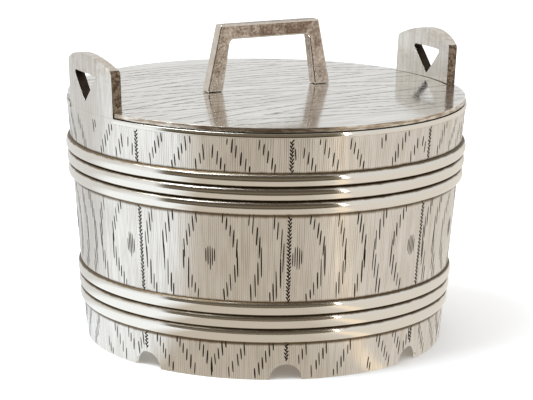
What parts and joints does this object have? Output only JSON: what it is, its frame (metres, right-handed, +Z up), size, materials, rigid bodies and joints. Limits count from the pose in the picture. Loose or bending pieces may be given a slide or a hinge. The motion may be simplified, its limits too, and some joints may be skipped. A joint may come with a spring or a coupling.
{
  "type": "silver sugar bowl",
  "caption": "Round tapered sugar bowl shaped as a small coopered tub, with reeded hoops, pierced ears, notched foot and a lift-off lid with bracket handle.",
  "frame": {"origin": "middle of the ring the foot stands on, on the surface it stands on", "axes": "+Z up through the lid handle, +X towards the right ear; the handle runs along X, and the side facing the viewer is -Y"},
  "size_m": [0.1124, 0.1118, 0.0882],
  "materials": {
    "engraved_silver": "satin silver with engraved, darkened wood grain",
    "polished_silver": "polished silver",
    "plain_silver": "plain satin silver",
    "lid_silver": "polished silver with fine engraved grain",
    "handle_silver": "silver with dark tarnish"
  },
  "bodies": {
    "tub": {"tub_wall": "engraved_silver", "base_plate": "plain_silver", "rim_wire_front": "polished_silver", "rim_wire_back": "polished_silver", "ear_right": "engraved_silver", "ear_left": "engraved_silver", "upper_hoop_reed_1": "polished_silver", "upper_hoop_reed_2": "polished_silver", "upper_hoop_reed_3": "polished_silver", "lower_hoop_reed_1": "polished_silver", "lower_hoop_reed_2": "polished_silver", "lower_hoop_reed_3": "polished_silver"},
    "lid": {"lid_plate": "lid_silver", "lid_collar": "plain_silver", "lid_handle": "handle_silver"}
  },
  "joints": [
    {"name": "lid_lift", "type": "slide", "parent": "tub", "child": "lid", "axis": [0, 0, 1], "range_m": [0, 0.03]}
  ]
}
